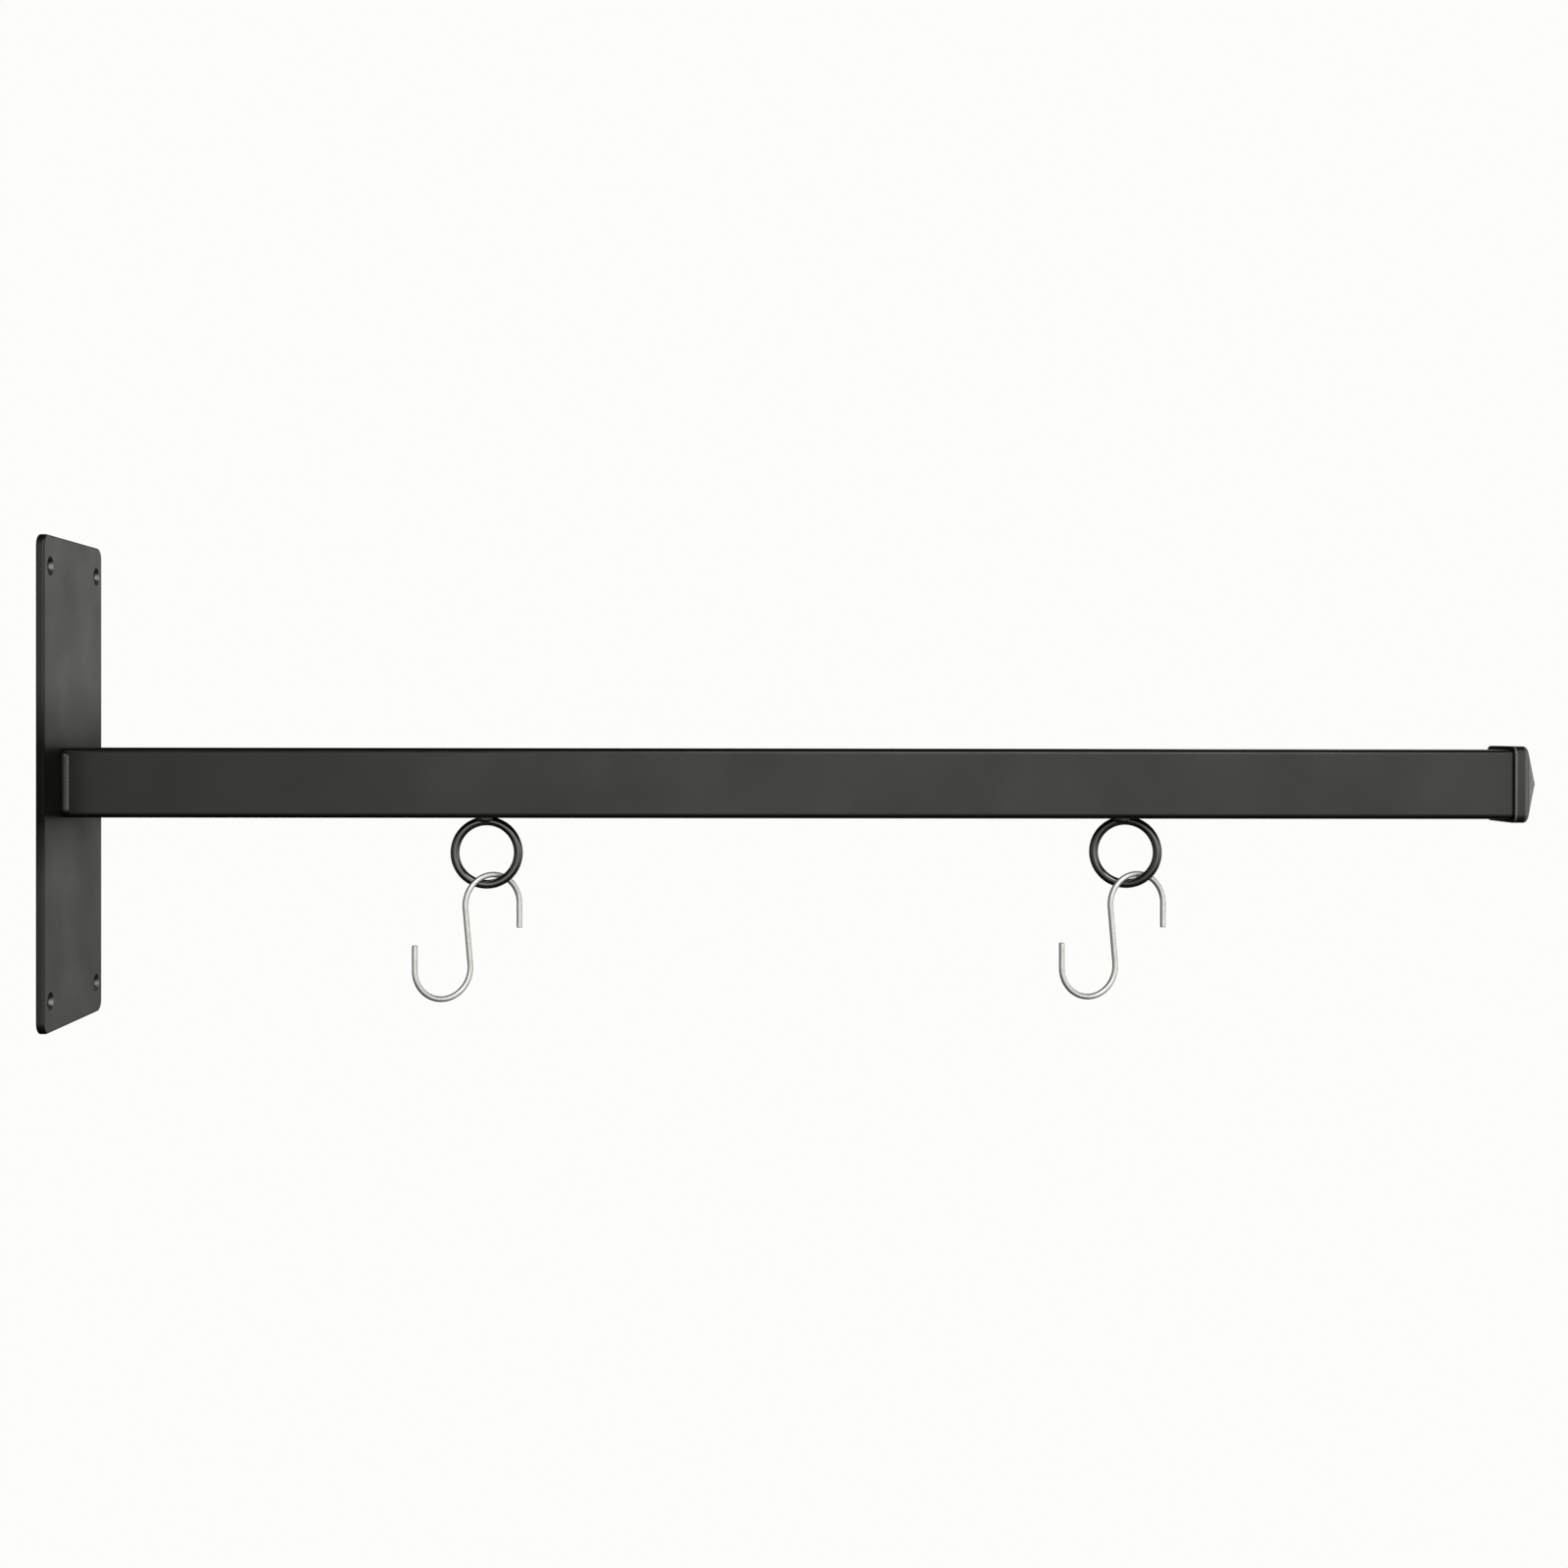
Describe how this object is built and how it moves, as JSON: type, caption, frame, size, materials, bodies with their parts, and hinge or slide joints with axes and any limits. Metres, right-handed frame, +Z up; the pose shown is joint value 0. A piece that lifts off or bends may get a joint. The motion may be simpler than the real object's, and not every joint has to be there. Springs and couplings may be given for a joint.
{
  "type": "sign bracket",
  "caption": "Wall-mounted square tube arm with a drilled back plate, end cap and welded rings, with loose S-hooks from which a hanging sign is carried.",
  "frame": {"origin": "centre of the plate's flat wall face, on the arm's axis", "axes": "+X along the arm, away from the wall; +Z up; +Y to the left when facing away from the wall"},
  "size_m": [0.8176, 0.1016, 0.2666],
  "materials": {
    "black_coat": "semi-gloss black powder coat on steel",
    "gloss_black_coat": "gloss black coat on steel wire",
    "cap_plastic": "moulded black plastic, slightly shiny",
    "bright_zinc": "bright zinc plated steel wire"
  },
  "bodies": {
    "bracket": {"wall_plate": "black_coat", "arm_tube": "black_coat", "left_arm_weld": "black_coat", "right_arm_weld": "black_coat", "end_cap": "cap_plastic", "inner_hanging_ring": "gloss_black_coat", "outer_hanging_ring": "gloss_black_coat", "inner_ring_weld": "black_coat", "outer_ring_weld": "black_coat"},
    "inner_hook": {"inner_s_hook": "bright_zinc"},
    "outer_hook": {"outer_s_hook": "bright_zinc"}
  },
  "joints": [
    {"name": "inner_hook_swing", "type": "hinge", "parent": "bracket", "child": "inner_hook", "pos_m": [0.23656, 0.00095, -0.06785], "axis": [0.5299, -0.848, 0], "range_deg": [-45, 90]},
    {"name": "outer_hook_swing", "type": "hinge", "parent": "bracket", "child": "outer_hook", "pos_m": [0.59545, -0.00005, -0.06705], "axis": [0.3173, -0.9483, 0], "range_deg": [-45, 90]}
  ]
}
